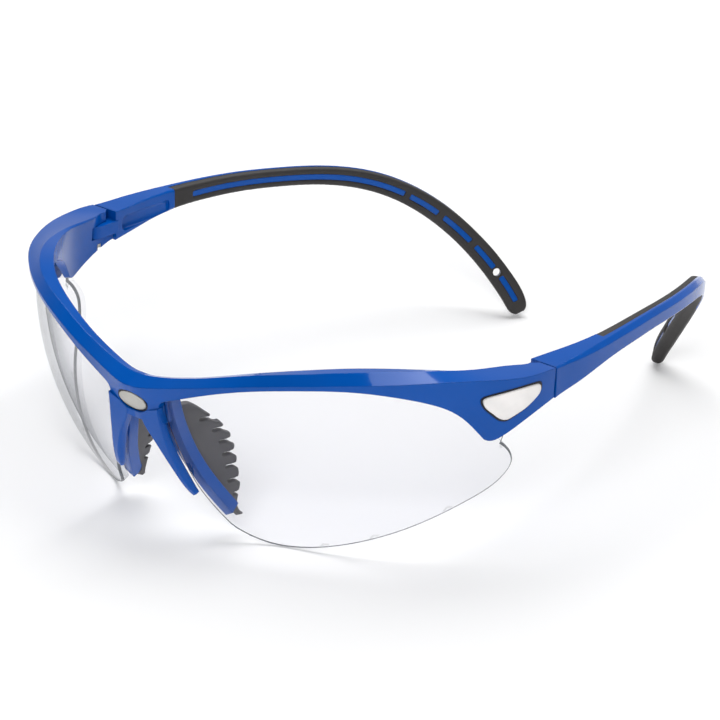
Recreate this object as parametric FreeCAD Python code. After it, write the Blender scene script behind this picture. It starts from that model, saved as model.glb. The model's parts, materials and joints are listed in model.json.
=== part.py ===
import FreeCAD, Part
import math
import os

# Half-rim wraparound sports safety glasses, folded open, resting on the lens bottoms and temple tips.
# Millimetres. +X is the wearer's left, the wearer looks along -Y, +Z is up.
# Shapes are drawn about a datum at the top of the hinges, midway between them, then moved to ORIGIN.

V = FreeCAD.Vector
os.makedirs("parts", exist_ok=True)

# driving dimensions
ORIGIN = V(0, -20.2, 42.15)
LENS_CENTRE = V(4.0, 12.06, -2.98)
LENS_R = 66.0
LENS_T = 1.8
SLOT_PLAY = 0.04
RIM_DEPTH = 14.0
HINGE = V(62.8, -5.0, 0)
HINGE_TOP = -2.0
HINGE_LOW = -5.0
HINGE_PLAY = 0.08
PIN_R = 0.75
PIN_PLAY = 0.04
TONGUE_R = 2.15
TIP_OUT = V(0.866, 0.5, 0)
JOINT_FRONT = -0.5
JOINT_BACK = -0.1
BADGE_A = 3.85
BADGE_B = 2.05
BADGE_AT = V(0, -55.1, -10.6)
BADGE_TILT = 17.0
BEZEL = 0.42
SNAP = 0.04
GRIP_START = 19.6
CORD_R = 1.0

# ridge of the brow bar (x, y, z), way in to the crest, rise to the crest, thickness, thickness low down
RIDGE = [
    (0.0, -56.6, -6.7, 3.3, 1.8, 4.8, 4.2),
    (5.0, -56.1, -6.1, 3.1, 1.6, 4.6, 4.2),
    (10.6, -54.9, -4.9, 2.7, 1.4, 4.4, 4.2),
    (17.9, -53.4, -3.1, 2.4, 1.4, 4.3, 4.2),
    (26.8, -50.8, -1.0, 2.1, 1.7, 4.3, 4.2),
    (38.5, -45.6, 1.0, 1.6, 2.1, 4.6, 4.4),
    (46.9, -39.9, 1.8, 2.3, 2.1, 5.3, 4.8),
    (54.4, -32.9, 2.2, 3.6, 1.4, 6.0, 5.0),
    (60.2, -24.8, 2.0, 4.8, 0.6, 6.0, 4.8),
    (63.7, -18.6, 1.5, 5.7, 0.2, 6.2, 4.6),
    (66.2, -13.0, 0.9, 6.7, 0.1, 6.9, 5.0),
    (67.6, -8.0, 0.5, 6.6, 0.0, 6.7, 6.2),
    (68.0, JOINT_FRONT, 0.1, 6.4, 0.0, 6.4, 6.3),
]
BRIDGE_FACE = [(3.5, -8.6), (2.5, -8.0), (1.6, -3.8)]

# lower edge of the brow bar: lip, under the bar, down to the corner of the end piece
BAR_EDGE = [
    (8.9, -51.9, -19.5), (8.1, -52.5, -16.0), (7.4, -53.0, -12.4), (7.0, -53.4, -10.4),
    (7.7, -53.8, -9.1), (9.4, -54.1, -8.2), (12.5, -54.2, -7.0), (18.5, -53.4, -4.7), (26.9, -50.9, -2.1), (38.3, -45.4, 0.0),
    (45.0, -40.8, 0.5), (49.6, -36.9, 0.2), (53.9, -32.6, -0.8), (57.8, -27.9, -2.5),
    (60.2, -24.4, -4.4), (61.8, -21.6, -6.8), (62.8, -19.5, -9.3), (63.4, -17.6, -11.6),
]
END_EDGE = [
    (63.4, -17.6, -11.6), (64.3, -15.8, -12.15), (65.2, -14.0, -11.6),
    (67.7, -8.0, -8.7), (69.4, -2.0, -6.9), (69.4, 3.0, -6.0),
]
WINDOW_FAR = [(69.0, 6.0, -34.0), (44.0, -32.0, -46.0), (13.4, -48.0, -44.0)]

# lens outline on its sphere, wearer's left
LENS_HIDDEN = [
    (64.5, -12.7, -13.9), (65.4, -12.6, -9.0), (64.6, -15.2, -3.5), (61.0, -23.0, -1.2),
    (54.5, -32.2, 0.6), (46.0, -39.9, 1.7), (38.0, -45.3, 1.1), (26.9, -50.6, -0.9),
    (18.0, -53.1, -3.2), (11.5, -54.0, -5.2), (7.6, -54.0, -8.0),
]
LENS_NOSE = [
    (7.6, -54.0, -8.0), (7.5, -53.5, -11.5), (8.9, -52.3, -17.5), (10.6, -50.2, -24.0),
    (12.2, -47.9, -29.4), (14.2, -45.2, -34.0), (15.9, -42.7, -37.8),
]
LENS_LOW = [
    (16.6, -41.8, -38.7), (19.6, -39.8, -40.75), (23.5, -37.3, -41.9), (28.4, -35.1, -41.9),
    (33.1, -33.1, -41.1), (39.8, -29.9, -39.0), (49.9, -23.5, -34.1), (58.5, -15.5, -27.8),
    (63.3, -9.9, -22.3), (64.7, -9.2, -18.9), (65.0, -10.5, -16.2), (64.5, -12.7, -13.9),
]

# front leg beside the nose: inner and outer foot (x, z), inset and height of its crest
LEG = [
    (1.6, -12.4, 7.2, -10.4, 0.1, 1.6),
    (2.6, -15.6, 7.5, -13.2, 0.3, 1.6),
    (4.2, -18.5, 8.3, -16.8, 0.6, 1.55),
    (5.9, -22.0, 9.4, -20.8, 0.9, 1.5),
    (7.8, -26.3, 10.7, -25.0, 1.0, 1.4),
    (9.0, -28.9, 11.6, -28.4, 0.8, 1.2),
    (10.4, -31.0, 12.0, -30.0, 0.4, 0.8),
]

# carrier leg behind the lens
CARRIER_OUT = [
    (7.7, -51.0, -7.5), (8.1, -50.5, -12.0), (9.3, -49.2, -18.0), (11.4, -46.9, -24.7),
    (13.6, -44.4, -29.8), (15.8, -41.0, -35.2),
]
CARRIER_IN = [
    (13.6, -40.8, -36.6), (11.6, -43.8, -32.0), (8.7, -47.0, -25.5), (6.3, -49.4, -19.5),
    (4.5, -50.6, -14.2), (2.6, -51.0, -12.4),
]
NOTCH = V(12.9, -48.6, -30.9)

# soft nose pad: height, edge against the carrier, outer edge, in plan
PAD_T = 1.8
PAD = [
    (-11.5, 6.0, -49.0, 7.4, -46.0),
    (-14.1, 6.4, -48.5, 8.7, -42.7),
    (-17.2, 7.1, -47.8, 9.9, -39.3),
    (-20.0, 7.9, -47.1, 10.7, -37.4),
    (-25.4, 9.9, -45.3, 12.0, -36.7),
    (-28.2, 11.0, -44.1, 12.8, -36.9),
    (-31.1, 12.2, -42.8, 13.5, -37.2),
    (-37.2, 14.2, -39.4, 14.9, -37.6),
]
PAD_SLOTS = [-15.7, -18.6, -21.4, -24.1, -26.8, -29.7, -32.6]
PAD_SLOT = 0.7
PAD_FINGER = 3.4

# side badge outline, along the end piece and up
SIDE_BADGE = [
    (-6.2, -3.2), (-5.6, -4.6), (-3.9, -6.2), (-2.3, -7.5), (-0.7, -7.9), (0.9, -7.4),
    (4.0, -6.1), (6.2, -4.7), (7.6, -3.1), (7.4, -2.0), (5.9, -1.6), (0.0, -1.8), (-4.2, -2.2),
]
SIDE_AT = V(66.0, -12.6, 0)
SIDE_OUT = V(0.93, -0.37, 0)

# temple centre line, height and thickness at each station
TEMPLE = [
    (64.5, JOINT_BACK, -3.35, 6.9, 7.0),
    (64.6, 6.0, -3.05, 6.3, 6.2),
    (64.6, 13.0, -2.7, 5.6, 5.2),
    (64.05, 20.0, -2.45, 4.9, 4.4),
    (62.6, 30.0, -2.5, 4.5, 3.9),
    (60.6, 40.0, -2.95, 4.3, 3.6),
    (58.05, 50.0, -3.9, 4.2, 3.5),
    (53.7, 62.4, -5.6, 4.3, 3.4),
    (47.3, 74.3, -9.2, 4.6, 3.4),
    (41.6, 81.8, -14.0, 4.9, 3.4),
    (36.6, 86.8, -19.2, 5.1, 3.4),
    (32.5, 90.0, -24.0, 5.2, 3.4),
    (28.6, 92.4, -28.9, 5.3, 3.4),
    (25.1, 94.1, -33.7, 5.3, 3.4),
    (22.2, 95.2, -38.3, 5.0, 3.2),
    (21.4, 95.45, -40.1, 4.2, 2.8),
    (20.9, 95.6, -41.05, 2.2, 1.6),
]


def poly(points):
    closed = [V(*p) for p in points]
    closed.append(closed[0])
    return Part.makePolygon(closed)


def spline(points):
    curve = Part.BSplineCurve()
    curve.interpolate([V(*p) for p in points])
    return curve.toShape()


def line(a, b):
    return Part.makeLine(V(*a), V(*b))


def radial(edges, near, far):
    # solid whose side walls point at the lens centre
    wire = Part.Wire(Part.__sortEdges__(edges))
    rings = []
    for k in (near, far):
        m = FreeCAD.Matrix()
        m.move(LENS_CENTRE * -1)
        m.scale(k, k, k)
        m.move(LENS_CENTRE)
        rings.append(wire.transformGeometry(m))
    return Part.makeLoft(rings, True, True)


def shell(outer, inner):
    ball = Part.makeSphere(outer, LENS_CENTRE)
    return ball.cut(Part.makeSphere(inner, LENS_CENTRE))


def mirrored(shape):
    return shape.mirror(V(0, 0, 0), V(1, 0, 0))


def prism(points, place, depth):
    # closed spline outline drawn in the plane of place, pushed along its normal
    curve = Part.BSplineCurve()
    curve.interpolate([V(p[0], p[1], 0) for p in points], PeriodicFlag=True)
    face = Part.Face(Part.Wire(curve.toShape()))
    body = face.extrude(V(0, 0, depth))
    body.Placement = place
    return body


def cylinder(radius, base, height, direction=V(0, 0, 1)):
    return Part.makeCylinder(radius, height, base, direction)


def save(name, shape):
    clean = shape.removeSplitter()
    solids = clean.Solids if clean.isValid() else shape.Solids
    whole = solids[0] if len(solids) == 1 else Part.Compound(solids)
    whole = whole.translated(ORIGIN)
    whole.exportStep("parts/" + name + ".step")
    box = whole.BoundBox
    print(name, len(solids), round(whole.Volume, 1), whole.isValid(), [round(v, 2) for v in (
        box.XMin, box.XMax, box.YMin, box.YMax, box.ZMin, box.ZMax)])


def save_pair(name, shape):
    save(name + "_left", shape)
    save(name + "_right", mirrored(shape))


# lens

def make_lens(play=0.0):
    edges = [spline(LENS_HIDDEN), spline(LENS_NOSE), spline(LENS_LOW)]
    edges.append(line(LENS_NOSE[-1], LENS_LOW[0]))
    tool = radial(edges, 0.85, 1.1)
    skin = shell(LENS_R + play, LENS_R - LENS_T - play)
    return skin.common(tool)


# brow bar

def ridge_frame(x, y):
    way = V(LENS_CENTRE.x - x, LENS_CENTRE.y - y, 0)
    if x < 0.01:
        way = V(0, 1, 0)
    if y > JOINT_FRONT - 0.01:
        way = V(-1, 0, 0)
    return way.normalize()


def ridge_loft(section, stations=RIDGE):
    wires = []
    for row in stations:
        at = V(*row[:3])
        way = ridge_frame(row[0], row[1])
        wires.append(poly([at + way * p[0] + V(0, 0, p[1]) for p in section(row)]))
    return Part.makeLoft(wires, True, False)


def bar_section(row):
    # the face under the ridge leans back to the lens at the nose and is upright elsewhere
    into, rise, thick, low = row[3:]
    lean = max(0.0, 1 - row[0] / 16.0)
    deep = -8.6 if row[0] < 40 else -RIM_DEPTH
    face = [(0.3 + (p[0] - 0.3) * lean, p[1] if row[0] < 40 else p[1] * 1.6) for p in BRIDGE_FACE]
    face[0] = (face[0][0], deep)
    return [(0, 0), (into, rise), (thick, rise - 0.35), (low, deep)] + face


def skin(top, bottom):
    def section(row):
        return [(top, 0.5), (top + 0.3, -RIM_DEPTH), (bottom + 0.3, -RIM_DEPTH), (bottom, 0.5)]
    return ridge_loft(section, RIDGE[8:])


def on_lens(x, z):
    side = x - LENS_CENTRE.x
    high = z - LENS_CENTRE.z
    return V(x, LENS_CENTRE.y - math.sqrt(LENS_R ** 2 - side ** 2 - high ** 2), z)


def make_leg():
    # rounded strip lying on the lens, its two feet narrower apart at the crest
    rings = []
    for ix, iz, ox, oz, inset, high in LEG:
        a = on_lens(ix, iz)
        b = on_lens(ox, oz)
        over = (b - a).normalize()
        out = ((a + b) * 0.5 - LENS_CENTRE).normalize()
        rings.append(poly([
            a, a + out * high * 0.35 + over * inset * 0.15, a + out * high * 0.8 + over * inset * 0.55,
            a + out * high + over * inset, b + out * high - over * inset,
            b + out * high * 0.8 - over * inset * 0.55, b + out * high * 0.35 - over * inset * 0.15, b]))
    leg = Part.makeLoft(rings, True, False)
    return leg.cut(Part.makeSphere(0.8, NOTCH))


def make_half_bar():
    bar = ridge_loft(bar_section)
    edges = [spline(BAR_EDGE), spline(END_EDGE)]
    far = [END_EDGE[-1]] + WINDOW_FAR + [BAR_EDGE[0]]
    for a, b in zip(far[:-1], far[1:]):
        edges.append(line(a, b))
    bar = bar.cut(radial(edges, 0.8, 1.15))
    arch = poly([(0, -70, -14.9), (1.9, -70, -14.9), (3.0, -70, -16.2), (3.0, -70, -40), (0, -70, -40)])
    bar = bar.cut(Part.Face(arch).extrude(V(0, 30, 0)))
    return bar.fuse(make_leg())


def make_nose_bracket():
    edges = [spline(CARRIER_OUT), spline(CARRIER_IN)]
    edges.append(line(CARRIER_OUT[-1], CARRIER_IN[0]))
    edges.append(line(CARRIER_IN[-1], CARRIER_OUT[0]))
    leg = shell(LENS_R - LENS_T - 0.1, LENS_R - 4.6).common(radial(edges, 0.85, 1.05))
    yoke = Part.makeBox(6.4, 4.0, 4.6, V(0, -53.0, -12.4))
    half = leg.fuse(yoke)
    return half


def make_nose_pad():
    rings = []
    for z, ax, ay, bx, by in PAD:
        a = V(ax, ay, z)
        b = V(bx, by, z)
        along = (b - a).normalize()
        side = V(-along.y, along.x, 0) * (PAD_T / 2)
        mid = b - along * 0.5
        rings.append(poly([a - side, mid - side, b - side * 0.4, b + side * 0.4, mid + side, a + side]))
    pad = Part.makeLoft(rings, True, False)
    for z in PAD_SLOTS:
        low = [row for row in PAD if row[0] >= z][-1]
        top = PAD[PAD.index(low) + 1]
        share = (z - low[0]) / (top[0] - low[0])
        at = [low[k] + share * (top[k] - low[k]) for k in range(5)]
        a = V(at[1], at[2], z)
        b = V(at[3], at[4], z)
        along = (b - a).normalize()
        reach = min(PAD_FINGER, (b - a).Length * 0.5)
        place = FreeCAD.Placement(b - along * reach, FreeCAD.Rotation(along, V(), V(0, 0, 1), "XZY"))
        half = PAD_SLOT / 2
        side = [(0, half * 0.6), (0.4, half), (reach - 1.3, half), (reach - 0.6, half * 1.4), (reach, half * 2.7),
                (reach + 1, half * 3.6)]
        ring = side + [(p[0], -p[1]) for p in reversed(side)]
        cut = Part.Face(poly([(p[0], -6, p[1]) for p in ring])).extrude(V(0, 12, 0))
        cut.Placement = place
        pad = pad.cut(cut)
    return pad


def hinge_slot():
    tall = HINGE_TOP - HINGE_LOW
    room = TONGUE_R + 0.4
    base = V(HINGE.x, HINGE.y, HINGE_LOW)
    slot = cylinder(room, base, tall)
    slot = slot.fuse(Part.makeBox(room, 20, tall, base))
    return slot.fuse(Part.makeBox(12, 20, tall, base - V(12, room, 0)))


def tongue():
    tall = HINGE_TOP - HINGE_LOW - 2 * HINGE_PLAY
    base = V(HINGE.x, HINGE.y, HINGE_LOW + HINGE_PLAY)
    plate = cylinder(TONGUE_R, base, tall)
    plate = plate.fuse(Part.makeBox(2 * TONGUE_R, 8, tall, base - V(TONGUE_R, 0, 0)))
    return plate


def hinge_screw():
    low = V(HINGE.x, HINGE.y, -7.4)
    head = cylinder(1.3, low, 0.9)
    slot = Part.makeBox(3, 0.35, 0.4, low - V(1.5, 0.175, 0))
    shank = cylinder(PIN_R, low, 6.5)
    return head.fuse(shank).cut(slot)


# temple

def temple_axes():
    pts = [V(*row[:3]) for row in TEMPLE]
    frames = []
    for i, p in enumerate(pts):
        a = pts[max(i - 1, 0)]
        b = pts[min(i + 1, len(pts) - 1)]
        along = (b - a).normalize()
        if i == 0:
            along = V(0, 1, 0)
        out = along.cross(V(0, 0, 1)).normalize()
        if out.y > TIP_OUT.y:
            out = (TIP_OUT - along * along.dot(TIP_OUT)).normalize()
        up = out.cross(along).normalize()
        frames.append((p, along, out, up))
    return frames


def temple_loft(section, first, last):
    wires = []
    for (p, along, out, up), row in list(zip(temple_axes(), TEMPLE))[first:last + 1]:
        wires.append(poly([p + out * a + up * b for a, b in section(row[3], row[4])]))
    return Part.makeLoft(wires, True, False)


def temple_section(high, thick):
    h = high / 2
    t = thick / 2
    c = max(0.2, 0.04 * thick * (7.6 - thick))
    return [
        (-t + c * 0.7, h), (t - c * 1.7, h), (t, h - c * 1.7), (t - 0.1 * c, -h + c * 1.4),
        (t - c * 1.4, -h), (-t + c, -h), (-t, -h + c), (-t, h - c * 0.7),
    ]


def flush_section(high, thick):
    h = high / 2
    t = thick / 2
    return [(0.1, h + 1), (t + 1, h + 1), (t + 1, -h + 0.5), (0.1, -h + 0.5)]


def buried_section(high, thick):
    return [(0.1, 1.6), (0.9, 1.6), (0.9, -1.6), (0.1, -1.6)]


def rib_section(high, thick):
    t = thick / 2
    return [(0.5, 0.65), (0.5, -0.65), (-t + 0.2, -0.65), (-t + 0.2, 0.65)]


def window_section(high, thick):
    t = thick / 2
    return [(-t + 0.5, 0.5), (-t + 0.5, -0.5), (-t - 0.6, -0.9), (-t - 0.6, 0.9)]


def cross_cut(index, share, width):
    # slab across the temple, centred between station index and the next
    frames = temple_axes()
    p, along, out, up = frames[index]
    q = frames[index + 1][0]
    way = (q - p).normalize()
    centre = p + (q - p) * share
    side = way.cross(V(0, 0, 1)).normalize()
    high = side.cross(way).normalize()
    place = FreeCAD.Placement(centre, FreeCAD.Rotation(side, high, side.cross(high), "XYZ"))
    block = Part.makeBox(14, 14, width, V(-7, -7, -width / 2))
    block.Placement = place
    return block


def make_temple():
    last = len(TEMPLE) - 1
    whole = temple_loft(temple_section, 0, last)
    front = Part.makeBox(40, GRIP_START + 10, 40, V(45, -10, -20))
    root = whole.common(front)
    scoop = Part.makeBox(3.6, 16.0, 3.5, V(59.0, 2.0, -5.3))
    scoop = scoop.makeFillet(1.2, [e for e in scoop.Edges if abs(e.tangentAt(0).z) < 0.1])
    root = root.cut(scoop)
    root = root.fuse(tongue().common(Part.makeBox(20, 8, 10, V(55, -7.5, -8))))
    rear = whole.cut(front)
    flush = temple_loft(flush_section, 2, 10).common(rear)
    buried = temple_loft(buried_section, 9, last - 3)
    rib = temple_loft(rib_section, 3, last - 2)
    start = Part.makeBox(40, 6.0, 40, V(45, GRIP_START - 0.5, -20))
    window = temple_loft(window_section, 3, last - 2).cut(start)
    rib = rib.cut(start)
    for index, share, width in ((8, 0.65, 1.6), (9, 0.7, 1.8), (11, 0.15, 1.8), (12, 0.55, 2.8)):
        slab = cross_cut(index, share, width)
        rib = rib.cut(slab)
        window = window.cut(slab)
    core = root.fuse([flush, buried, rib.common(whole)])
    grip = rear.cut(core).cut(window)
    frames = temple_axes()
    side = frames[12][2]
    hole_at = frames[12][0] + (frames[13][0] - frames[12][0]) * 0.55
    hole = cylinder(CORD_R, hole_at - side * 8, 16, side)
    return core.cut(hole), grip.cut(hole)


def main():
    lens = make_lens()
    save_pair("lens", lens)
    seat = make_lens(SLOT_PLAY)

    half = make_half_bar()
    half = half.cut(seat)
    half = half.cut(hinge_slot())
    bore = cylinder(PIN_R + PIN_PLAY, V(HINGE.x, HINGE.y, -9), 8.2)
    half = half.cut(bore)
    recess = cylinder(1.3 + PIN_PLAY, V(HINGE.x, HINGE.y, -9), 2.5)
    half = half.cut(recess)
    corner = poly([(58, -4.2, -2), (61.9, -2.4, -2), (63.4, -0.9, -2), (64.2, 1, -2), (58, 1, -2)])
    half = half.cut(Part.Face(corner).extrude(V(0, 0, 6)))

    # badges and their dark bezels
    rot = FreeCAD.Rotation(V(-SIDE_OUT.y, SIDE_OUT.x, 0), V(0, 0, 1), SIDE_OUT, "XYZ")
    place = FreeCAD.Placement(SIDE_AT - SIDE_OUT * 8, rot)
    plug = prism(SIDE_BADGE, place, 16)
    wide = [(p[0] * 1.065 - 0.04, (p[1] + 4.5) * 1.14 - 4.5) for p in SIDE_BADGE]
    wide_plug = prism(wide, place, 16)
    snug = [prism([(p[0] * k + 0.5 * (1 - k), (p[1] + 4.5) * k - 4.5) for p in ring], place, 16)
            for ring, k in ((SIDE_BADGE, 0.993), (wide, 0.994))]
    side_badge = snug[0].common(skin(-0.3, 0.55 - SNAP))
    side_bezel = snug[1].common(skin(0.0, 0.9 - SNAP)).cut(plug.common(skin(-2, 0.55)))
    half = half.cut(wide_plug.common(skin(-2, 0.9)))

    frame = half.fuse(mirrored(half))
    tilt = math.radians(BADGE_TILT)
    face = V(0, -math.cos(tilt), -math.sin(tilt))
    turn = FreeCAD.Rotation(V(1, 0, 0), face.cross(V(1, 0, 0)), face, "XYZ")
    wells = []
    for grow in (0.0, SNAP, BEZEL, BEZEL + SNAP):
        ring = [(math.cos(a) * (BADGE_A + grow), math.sin(a) * (BADGE_B + grow))
                for a in [math.radians(k * 30) for k in range(12)]]
        wells.append(ring)

    def disc(well, low, high):
        return prism(wells[well], FreeCAD.Placement(BADGE_AT + face * low, turn), high - low)

    frame = frame.cut(disc(3, -1.3, 3.0))
    bezel = disc(2, -1.3 + SNAP, -0.15).cut(disc(1, -0.9, 3.0))
    badge = disc(0, -0.9 + SNAP, 0.0)
    bracket = make_nose_bracket()
    bracket = bracket.fuse(mirrored(bracket)).cut(frame)
    bracket = bracket.cut(seat).cut(mirrored(seat))
    pad = max(make_nose_pad().cut(bracket).Solids, key=lambda solid: solid.Volume)
    save("nose_bracket", bracket)
    save_pair("nose_pad", pad)
    save("front_frame", frame)
    save("centre_badge", badge)
    save("centre_badge_bezel", bezel)
    save_pair("side_badge", side_badge)
    save_pair("side_badge_bezel", side_bezel)
    save_pair("hinge_screw", hinge_screw())

    core, grip = make_temple()
    core = core.cut(cylinder(PIN_R + PIN_PLAY, V(HINGE.x, HINGE.y, -9), 12))
    save_pair("temple_core", core)
    save_pair("temple_grip", grip)


main()
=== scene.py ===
import json
import math

import bmesh
import bpy
from bpy.props import FloatProperty, FloatVectorProperty, PointerProperty
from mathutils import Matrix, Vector


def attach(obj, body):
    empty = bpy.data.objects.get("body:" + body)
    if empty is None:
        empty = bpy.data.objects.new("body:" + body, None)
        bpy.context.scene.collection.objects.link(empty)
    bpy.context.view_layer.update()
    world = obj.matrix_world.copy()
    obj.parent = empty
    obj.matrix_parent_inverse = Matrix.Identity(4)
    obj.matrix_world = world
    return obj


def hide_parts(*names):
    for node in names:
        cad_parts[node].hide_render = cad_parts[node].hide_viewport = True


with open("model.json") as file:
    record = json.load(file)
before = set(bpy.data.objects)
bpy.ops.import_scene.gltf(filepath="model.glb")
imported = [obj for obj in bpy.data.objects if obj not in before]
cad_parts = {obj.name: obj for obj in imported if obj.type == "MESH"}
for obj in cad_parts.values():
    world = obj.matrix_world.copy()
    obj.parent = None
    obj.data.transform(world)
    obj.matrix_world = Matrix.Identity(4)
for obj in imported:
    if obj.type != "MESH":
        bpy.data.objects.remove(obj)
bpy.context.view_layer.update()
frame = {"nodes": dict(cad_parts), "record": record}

bl_info = {
    "name": "Wraparound Sports Glasses",
    "version": (1, 0, 0),
    "blender": (4, 5, 0),
    "location": "View3D > Sidebar > Glasses",
    "description": "Half-rim wraparound sports safety glasses with finishes, details and a studio stage",
    "category": "Object",
}

MM = 0.001
SIDES = ("left", "right")

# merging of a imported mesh's loose triangles
WELD = 0.002 * MM
SLIVER = 0.001 * MM

# lens outline: the edges sharper than CORNER degrees, on faces that look outward
CORNER = 50
OUTWARD = {"left": Vector((0.6, -0.8, 0.0)), "right": Vector((-0.6, -0.8, 0.0))}
OUTWARD_SHARE = 0.4

# rounding radii that only the shading shows, in millimetres
MOULD_EDGE = 0.35
BADGE_EDGE = 0.5

# voxel in millimetres and relaxing passes of each rubber part's skin
PAD_SKIN = (0.16, 6)
GRIP_SKIN = (0.24, 5)

# studio: half the floor's width, each light's place and width, and the camera
FLOOR_HALF = 4.0
KEY_PLACE = (-0.25, 0.5, 1.4)
KEY_WIDTH = 1.4
FILL_PLACE = (0.9, -1.3, 1.1)
FILL_WIDTH = 0.9
CAMERA_PLACE = (0.51363, -0.57648, 0.34426)
CAMERA_TURN = (67.0694, -0.7692, 42.2750)
SENSOR = 36
CLIP_END = 20


# ---------------------------------------------------------------- colours and nodes

def linear(hexcode):
    """A '#RRGGBB' sRGB colour as linear red, green and blue."""
    parts = [int(hexcode[i:i + 2], 16) / 255 for i in (1, 3, 5)]
    return tuple(c / 12.92 if c <= 0.04045 else ((c + 0.055) / 1.055) ** 2.4 for c in parts)


def rgba(colour):
    return (colour[0], colour[1], colour[2], 1.0)


def add(tree, kind, links=None, **settings):
    """Adds a node, sets its properties and sockets, and links its inputs."""
    node = tree.nodes.new(kind)
    for key, value in settings.items():
        if hasattr(node, key):
            setattr(node, key, value)
        else:
            node.inputs[key.replace("_", " ")].default_value = value
    for key, source in (links or {}).items():
        tree.links.new(source, node.inputs[key])
    return node


def new_material(name):
    mat = bpy.data.materials.new(name)
    mat.use_nodes = True
    tree = mat.node_tree
    tree.nodes.clear()
    return mat, tree


def finish_material(tree, shader):
    out = tree.nodes.new("ShaderNodeOutputMaterial")
    tree.links.new(shader.outputs[0], out.inputs["Surface"])


def shade_colour(tree, base, spread, coords, scale):
    """A slow drift of shade around a base colour."""
    noise = add(tree, "ShaderNodeTexNoise", {"Vector": coords}, Scale=scale, Detail=3.0)
    dark = tuple(c * (1 - spread) for c in base)
    light = tuple(min(1.0, c * (1 + spread)) for c in base)
    ramp = add(tree, "ShaderNodeValToRGB", {"Fac": noise.outputs["Fac"]})
    ramp.color_ramp.elements[0].position = 0.35
    ramp.color_ramp.elements[1].position = 0.65
    ramp.color_ramp.elements[0].color = rgba(dark)
    ramp.color_ramp.elements[1].color = rgba(light)
    return ramp.outputs["Color"]


def soft_edges(tree, radius_mm):
    """Edges rounded to a small radius, as a mould leaves them."""
    return add(tree, "ShaderNodeBevel", samples=6, Radius=radius_mm * MM).outputs["Normal"]


def lacquered_polycarbonate(name, base):
    """Moulded polycarbonate under clear lacquer: deep colour, sharp gloss, faint orange peel."""
    mat, tree = new_material(name)
    coords = add(tree, "ShaderNodeTexCoord").outputs["Object"]
    colour = shade_colour(tree, base, 0.05, coords, 60.0)
    # orange peel of about 1.2 mm, drawn at its real size
    peel = add(tree, "ShaderNodeTexNoise", {"Vector": coords}, Scale=1 / (1.2 * MM), Detail=1.0)
    bump = add(tree, "ShaderNodeBump",
               {"Height": peel.outputs["Fac"], "Normal": soft_edges(tree, MOULD_EDGE)},
               Strength=0.04, Distance=0.05 * MM)
    # handling haze in patches of about 7 mm
    haze = add(tree, "ShaderNodeTexNoise", {"Vector": coords}, Scale=1 / (7 * MM), Detail=4.0)
    rough = add(tree, "ShaderNodeMapRange", {"Value": haze.outputs["Fac"]})
    rough.inputs["To Min"].default_value = 0.12
    rough.inputs["To Max"].default_value = 0.2
    shader = add(tree, "ShaderNodeBsdfPrincipled", {
        "Base Color": colour, "Normal": bump.outputs["Normal"], "Roughness": rough.outputs["Result"]},
        IOR=1.5, Specular_IOR_Level=0.1, Coat_Weight=0.24, Coat_Roughness=0.03, Coat_IOR=1.5)
    finish_material(tree, shader)
    return mat


def moulded_rubber(name, base, grain_mm=0.35, rough=0.62):
    """Moulded thermoplastic rubber: dull, slightly warm, with a fine spark-eroded grain."""
    mat, tree = new_material(name)
    coords = add(tree, "ShaderNodeTexCoord").outputs["Object"]
    colour = shade_colour(tree, base, 0.12, coords, 90.0)
    grain = add(tree, "ShaderNodeTexNoise", {"Vector": coords}, Scale=1 / (grain_mm * MM), Detail=2.0)
    bump = add(tree, "ShaderNodeBump", {"Height": grain.outputs["Fac"]}, Strength=0.25, Distance=0.06 * MM)
    shader = add(tree, "ShaderNodeBsdfPrincipled", {
        "Base Color": colour, "Normal": bump.outputs["Normal"]},
        Roughness=rough, IOR=1.5, Specular_IOR_Level=0.35)
    finish_material(tree, shader)
    return mat


def clear_polycarbonate(name, tint, edge):
    """Hard-coated clear polycarbonate: a faint tint, deeper where the sheet turns away, and a gleam."""
    mat, tree = new_material(name)
    coords = add(tree, "ShaderNodeTexCoord").outputs["Object"]
    facing = add(tree, "ShaderNodeLayerWeight", Blend=0.3)
    tone = add(tree, "ShaderNodeValToRGB", {"Fac": facing.outputs["Facing"]})
    tone.color_ramp.elements[0].color = rgba(tint)
    tone.color_ramp.elements[1].color = rgba(edge)
    tone.color_ramp.elements[0].position = 0.45
    clear = add(tree, "ShaderNodeBsdfTransparent", {"Color": tone.outputs["Color"]})
    # the coating's own waviness, about 9 mm across, bends the gleam a little
    wave = add(tree, "ShaderNodeTexNoise", {"Vector": coords}, Scale=1 / (9 * MM), Detail=1.0)
    bump = add(tree, "ShaderNodeBump", {"Height": wave.outputs["Fac"]}, Strength=0.05, Distance=0.1 * MM)
    gloss = add(tree, "ShaderNodeBsdfGlossy", {"Normal": bump.outputs["Normal"]}, Roughness=0.03)
    fresnel = add(tree, "ShaderNodeFresnel", IOR=1.4)
    # only the outer skin gleams, so the inside of the sheet stays clear
    inside = add(tree, "ShaderNodeNewGeometry").outputs["Backfacing"]
    front = add(tree, "ShaderNodeMath", operation="SUBTRACT", use_clamp=True)
    front.inputs[0].default_value = 1.0
    tree.links.new(inside, front.inputs[1])
    gleam = add(tree, "ShaderNodeMath", operation="MULTIPLY")
    tree.links.new(fresnel.outputs["Fac"], gleam.inputs[0])
    tree.links.new(front.outputs[0], gleam.inputs[1])
    mix = add(tree, "ShaderNodeMixShader", {"Fac": gleam.outputs[0]})
    tree.links.new(clear.outputs[0], mix.inputs[1])
    tree.links.new(gloss.outputs[0], mix.inputs[2])
    finish_material(tree, mix)
    return mat


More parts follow.
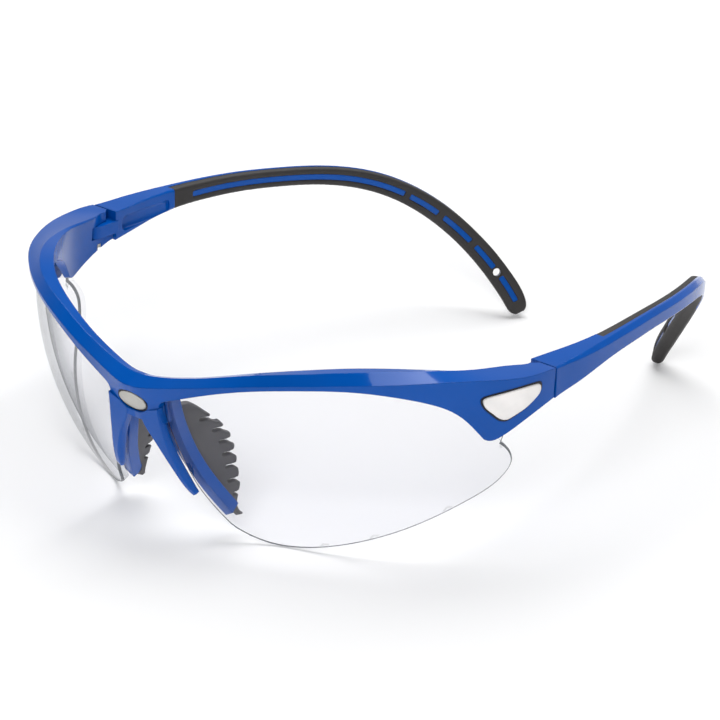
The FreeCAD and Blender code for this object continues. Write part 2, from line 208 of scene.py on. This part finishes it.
def brushed_badge(name, base, metallic=0.75, rough=0.34):
    """Badge film, metallised or pearl by its settings, with a fine straight brushing."""
    mat, tree = new_material(name)
    coords = add(tree, "ShaderNodeTexCoord").outputs["Object"]
    stretch = add(tree, "ShaderNodeMapping", {"Vector": coords})
    stretch.inputs["Scale"].default_value = (0.12, 0.12, 1.0)
    # brushing lines about 0.2 mm apart, coarser than real so that they show
    lines = add(tree, "ShaderNodeTexNoise", {"Vector": stretch.outputs["Vector"]},
                Scale=1 / (0.2 * MM), Detail=2.0)
    bump = add(tree, "ShaderNodeBump",
               {"Height": lines.outputs["Fac"], "Normal": soft_edges(tree, BADGE_EDGE)},
               Strength=0.12, Distance=0.03 * MM)
    colour = shade_colour(tree, base, 0.05, coords, 200.0)
    shader = add(tree, "ShaderNodeBsdfPrincipled", {
        "Base Color": colour, "Normal": bump.outputs["Normal"]}, Roughness=rough, Metallic=metallic)
    finish_material(tree, shader)
    return mat


def plated_steel(name, base):
    """Zinc-plated steel screw: grey metal with a fine uneven plating."""
    mat, tree = new_material(name)
    coords = add(tree, "ShaderNodeTexCoord").outputs["Object"]
    plating = add(tree, "ShaderNodeTexNoise", {"Vector": coords}, Scale=1 / (0.3 * MM), Detail=3.0)
    bump = add(tree, "ShaderNodeBump", {"Height": plating.outputs["Fac"]},
               Strength=0.15, Distance=0.02 * MM)
    colour = shade_colour(tree, base, 0.15, coords, 500.0)
    shader = add(tree, "ShaderNodeBsdfPrincipled", {
        "Base Color": colour, "Normal": bump.outputs["Normal"]}, Roughness=0.32, Metallic=1.0)
    finish_material(tree, shader)
    return mat


def cleaned_copy(node, name):
    """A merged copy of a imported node's mesh, as a new object of its own."""
    bm = bmesh.new()
    bm.from_mesh(frame["nodes"][node].data)
    bmesh.ops.remove_doubles(bm, verts=bm.verts, dist=WELD)
    bmesh.ops.dissolve_degenerate(bm, edges=bm.edges, dist=SLIVER)
    mesh = bpy.data.meshes.new(name)
    obj = bpy.data.objects.new(name, mesh)
    bpy.context.scene.collection.objects.link(obj)
    return obj, bm


def sharp_edges(bm, degrees):
    limit = math.radians(degrees)
    return [e for e in bm.edges if len(e.link_faces) == 2 and e.calc_face_angle() > limit]


def even_skin(obj, voxel_mm, passes):
    """Rewraps a solid in an even skin and relaxes it, so that every edge is moulded round."""
    wrap = obj.modifiers.new("skin", "REMESH")
    wrap.mode = "VOXEL"
    wrap.voxel_size = voxel_mm * MM
    wrap.use_smooth_shade = True
    relax = obj.modifiers.new("relax", "SMOOTH")
    relax.factor = 0.5
    relax.iterations = passes
    bpy.context.view_layer.update()
    done = bpy.data.meshes.new_from_object(obj.evaluated_get(bpy.context.evaluated_depsgraph_get()))
    obj.modifiers.clear()
    old = obj.data
    done.name = old.name
    obj.data = done
    bpy.data.meshes.remove(old)
    obj.data.shade_smooth()


def body_of(node):
    return next(b for b, names in frame["record"]["behaviour"]["bodies"].items() if node in names)


def stand_in(obj, node):
    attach(obj, body_of(node))
    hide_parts(node)


def paint(node, material):
    obj = frame["nodes"][node]
    obj.data.materials.clear()
    obj.data.materials.append(material)


def rubber_piece(node, name, skin, material):
    """A rubber part with round edges, standing in for its plain solid."""
    obj, bm = cleaned_copy(node, name)
    bm.to_mesh(obj.data)
    bm.free()
    even_skin(obj, *skin)
    obj.data.materials.append(material)
    stand_in(obj, node)


# ---------------------------------------------------------------- user settings

def colour_prop(name, text, hexcode):
    return FloatVectorProperty(name=name, description=text, subtype="COLOR", size=3, min=0, max=1,
                               default=linear(hexcode))


class GLASSES_PG_finish(bpy.types.PropertyGroup):
    frame_blue: colour_prop("Frame", "Lacquered frame and arm colour", "#004EA6")
    rubber: colour_prop("Ear grips", "Rubber over the arms", "#2F2D2D")
    pad_rubber: colour_prop("Nose pads", "Soft rubber of the nose pads", "#504F52")
    lens_tint: colour_prop("Lens", "Tint of the lens seen square on", "#FAFAFB")
    lens_edge: colour_prop("Lens edge", "Tint of the lens seen edge on", "#9FA3A8")
    # the rim colours paint the grey line along the lens's front edge: painted refraction and reflection of
    # the edge, deeper seen edge on
    painted_rim_line: colour_prop("Lens rim", "Painted grey edge line of the lens rim seen square on", "#6E7176")
    painted_rim_line_turned: colour_prop("Lens rim turned", "Painted grey edge line of the lens rim seen edge on", "#4C4F55")
    rim_width: FloatProperty(name="Rim softening", description="Width of the band along the lens edge that carries the painted grey line",
                             default=0.5 * MM, min=0, unit="LENGTH")
    centre_badge: colour_prop("Centre badge", "Champagne film of the oval badge", "#B4B2AC")
    badge: colour_prop("Side badges", "Pearl film of the side badges", "#F1EEEC")
    # the rings round the badges are painted near-black: painted shade of the recess round each badge
    bezel: colour_prop("Badge recess shade", "Near-black painted shade in the recess round each badge", "#0B1020")
    steel: colour_prop("Screws", "Plated steel", "#B4B4B2")


class GLASSES_PG_stage(bpy.types.PropertyGroup):
    floor: colour_prop("Floor", "Studio floor colour", "#F8F8F8")
    lens_length: FloatProperty(name="Camera lens",
                               description="Focal length in millimetres on a 36 mm sensor",
                               default=188.916, min=20, max=400, subtype="DISTANCE_CAMERA")
    camera_place: FloatVectorProperty(name="Camera place", description="Where the camera stands",
                                      subtype="XYZ", unit="LENGTH", default=CAMERA_PLACE)
    camera_turn: FloatVectorProperty(name="Camera turn", description="How the camera is turned",
                                     subtype="EULER", unit="ROTATION",
                                     default=tuple(math.radians(angle) for angle in CAMERA_TURN))
    key_power: FloatProperty(name="Key light", description="Power of the large overhead light in watts",
                             default=30.0, min=0, unit="POWER")
    fill_power: FloatProperty(name="Fill light", description="Power of the front light in watts",
                              default=11.5, min=0, unit="POWER")
    world_level: FloatProperty(name="Surround", description="Brightness of the white surround",
                               default=0.5, min=0)


# ---------------------------------------------------------------- operators

class GLASSES_OT_frame_parts(bpy.types.Operator):
    """Give the brow frame, nose bracket and arm cores their lacquered finish"""
    bl_idname = "glasses.frame_parts"
    bl_label = "Frame and arm cores"

    def execute(self, context):
        mat = lacquered_polycarbonate("blue lacquered polycarbonate", context.scene.glasses_finish.frame_blue)
        for node in ("front_frame", "nose_bracket", "temple_core_left", "temple_core_right"):
            paint(node, mat)
        return {"FINISHED"}


class GLASSES_OT_lenses(bpy.types.Operator):
    """Make the clear lenses, each with a softened rim that carries a painted grey edge line"""
    bl_idname = "glasses.lenses"
    bl_label = "Lenses"

    def execute(self, context):
        finish = context.scene.glasses_finish
        clear = clear_polycarbonate("hard-coated clear polycarbonate", finish.lens_tint, finish.lens_edge)
        # the rim material is painted refraction and reflection: a grey line on the narrow band along the
        # front edge
        rim = clear_polycarbonate("polycarbonate rim with painted edge line", finish.painted_rim_line, finish.painted_rim_line_turned)
        for side in SIDES:
            node = "lens_" + side
            obj, bm = cleaned_copy(node, "clear_lens_" + side)
            # the front edge shows as one fine painted grey line, painted refraction and reflection of the
            # edge, and the back edge stays crisp
            corners = sharp_edges(bm, CORNER)
            for edge in corners:
                edge.smooth = False
            edges = [e for e in corners
                     if any(f.normal.dot(OUTWARD[side]) > OUTWARD_SHARE for f in e.link_faces)]
            if not edges:
                raise RuntimeError("the lens has no rim to soften")
            bmesh.ops.bevel(bm, geom=edges, offset=finish.rim_width, segments=2, profile=0.5,
                            affect="EDGES", material=1)
            for face in bm.faces:
                face.smooth = True
            # the band's shading stops at its own border
            for edge in bm.edges:
                if len({face.material_index for face in edge.link_faces}) > 1:
                    edge.smooth = False
            bm.to_mesh(obj.data)
            bm.free()
            obj.data.materials.append(clear)
            obj.data.materials.append(rim)
            stand_in(obj, node)
        return {"FINISHED"}


class GLASSES_OT_nose_pads(bpy.types.Operator):
    """Make the soft fingered nose pads"""
    bl_idname = "glasses.nose_pads"
    bl_label = "Nose pads"

    def execute(self, context):
        mat = moulded_rubber("soft nose pad rubber", context.scene.glasses_finish.pad_rubber, 0.3, 0.55)
        for side in SIDES:
            rubber_piece("nose_pad_" + side, "soft_nose_pad_" + side, PAD_SKIN, mat)
        return {"FINISHED"}


class GLASSES_OT_ear_grips(bpy.types.Operator):
    """Make the rubber ear grips, moulded round at every edge"""
    bl_idname = "glasses.ear_grips"
    bl_label = "Ear grips"

    def execute(self, context):
        mat = moulded_rubber("dark moulded rubber", context.scene.glasses_finish.rubber)
        for side in SIDES:
            rubber_piece("temple_grip_" + side, "ear_grip_" + side, GRIP_SKIN, mat)
        return {"FINISHED"}


class GLASSES_OT_badges(bpy.types.Operator):
    """Make the plain badges, with the rings round them painted near-black as the shade in their recesses"""
    bl_idname = "glasses.badges"
    bl_label = "Badges"

    def execute(self, context):
        finish = context.scene.glasses_finish
        champagne = brushed_badge("champagne badge film", finish.centre_badge, 0.7, 0.3)
        pearl = brushed_badge("pearl badge film", finish.badge, 0.15, 0.35)
        # near-black painted shade for the recess round each badge, laid on the rings
        dark = moulded_rubber("painted badge recess shade", finish.bezel, 0.2, 0.4)
        paint("centre_badge", champagne)
        for node in ("side_badge_left", "side_badge_right"):
            paint(node, pearl)
        for node in ("centre_badge_bezel", "side_badge_bezel_left", "side_badge_bezel_right"):
            paint(node, dark)
        return {"FINISHED"}


class GLASSES_OT_screws(bpy.types.Operator):
    """Give the hinge screws their plated steel"""
    bl_idname = "glasses.screws"
    bl_label = "Hinge screws"

    def execute(self, context):
        mat = plated_steel("plated screw steel", context.scene.glasses_finish.steel)
        for side in SIDES:
            paint("hinge_screw_" + side, mat)
        return {"FINISHED"}


class GLASSES_OT_stage(bpy.types.Operator):
    """Set the pale floor, the soft lights and the camera"""
    bl_idname = "glasses.stage"
    bl_label = "Studio stage"

    def execute(self, context):
        scene = context.scene
        stage = scene.glasses_stage
        scene.view_settings.view_transform = "Standard"
        floor_mat, tree = new_material("matt studio floor")
        coords = add(tree, "ShaderNodeTexCoord").outputs["Object"]
        tone = shade_colour(tree, tuple(stage.floor), 0.004, coords, 4.0)
        finish_material(tree, add(tree, "ShaderNodeBsdfDiffuse", {"Color": tone}, Roughness=0.9))
        bm = bmesh.new()
        bmesh.ops.create_grid(bm, x_segments=1, y_segments=1, size=FLOOR_HALF)
        mesh = bpy.data.meshes.new("studio_floor")
        bm.to_mesh(mesh)
        bm.free()
        mesh.materials.append(floor_mat)
        floor = bpy.data.objects.new("studio_floor", mesh)
        scene.collection.objects.link(floor)

        world = bpy.data.worlds.new("white studio surround")
        world.use_nodes = True
        tree = world.node_tree
        tree.nodes.clear()
        # white walls that fall away to a dim ceiling, as in a light tent open at the top
        sky = add(tree, "ShaderNodeTexCoord").outputs["Generated"]
        height = add(tree, "ShaderNodeSeparateXYZ", {"Vector": sky}).outputs["Z"]
        fall = add(tree, "ShaderNodeValToRGB", {"Fac": height})
        fall.color_ramp.elements[0].position = 0.15
        fall.color_ramp.elements[0].color = (1.0, 1.0, 1.0, 1.0)
        fall.color_ramp.elements[1].position = 0.75
        fall.color_ramp.elements[1].color = (0.12, 0.12, 0.13, 1.0)
        back = add(tree, "ShaderNodeBackground", {"Color": fall.outputs["Color"]}, Strength=stage.world_level)
        out = tree.nodes.new("ShaderNodeOutputWorld")
        tree.links.new(back.outputs[0], out.inputs["Surface"])
        scene.world = world

        self.light(scene, "overhead_softbox", KEY_PLACE, KEY_WIDTH, stage.key_power)
        self.light(scene, "front_fill", FILL_PLACE, FILL_WIDTH, stage.fill_power)

        cam = bpy.data.cameras.new("studio_camera")
        cam.lens = stage.lens_length
        cam.sensor_width = SENSOR
        cam.clip_end = CLIP_END
        camera = bpy.data.objects.new("studio_camera", cam)
        camera.location = stage.camera_place
        camera.rotation_euler = stage.camera_turn
        scene.collection.objects.link(camera)
        scene.camera = camera
        return {"FINISHED"}

    def light(self, scene, name, place, width, power):
        """A square light turned to the origin."""
        lamp = bpy.data.lights.new(name, "AREA")
        lamp.shape = "RECTANGLE"
        lamp.size = width
        lamp.size_y = width
        lamp.energy = power
        obj = bpy.data.objects.new(name, lamp)
        obj.location = place
        obj.rotation_euler = (-Vector(place)).to_track_quat("-Z", "Y").to_euler()
        scene.collection.objects.link(obj)


class GLASSES_PT_panel(bpy.types.Panel):
    bl_label = "Sports Glasses"
    bl_idname = "GLASSES_PT_panel"
    bl_space_type = "VIEW_3D"
    bl_region_type = "UI"
    bl_category = "Glasses"

    def draw(self, context):
        layout = self.layout
        for group in (context.scene.glasses_finish, context.scene.glasses_stage):
            for key in group.__annotations__:
                layout.prop(group, key)
        for op in OPERATORS:
            layout.operator(op.bl_idname)


OPERATORS = (GLASSES_OT_frame_parts, GLASSES_OT_lenses, GLASSES_OT_nose_pads, GLASSES_OT_ear_grips,
             GLASSES_OT_badges, GLASSES_OT_screws, GLASSES_OT_stage)
CLASSES = (GLASSES_PG_finish, GLASSES_PG_stage) + OPERATORS + (GLASSES_PT_panel,)


def register():
    for cls in CLASSES:
        bpy.utils.register_class(cls)
    bpy.types.Scene.glasses_finish = PointerProperty(type=GLASSES_PG_finish)
    bpy.types.Scene.glasses_stage = PointerProperty(type=GLASSES_PG_stage)


def unregister():
    del bpy.types.Scene.glasses_stage
    del bpy.types.Scene.glasses_finish
    for cls in reversed(CLASSES):
        bpy.utils.unregister_class(cls)


def main():
    register()
    for op in OPERATORS:
        group, name = op.bl_idname.split(".")
        getattr(getattr(bpy.ops, group), name)()


if __name__ == "__main__":
    main()
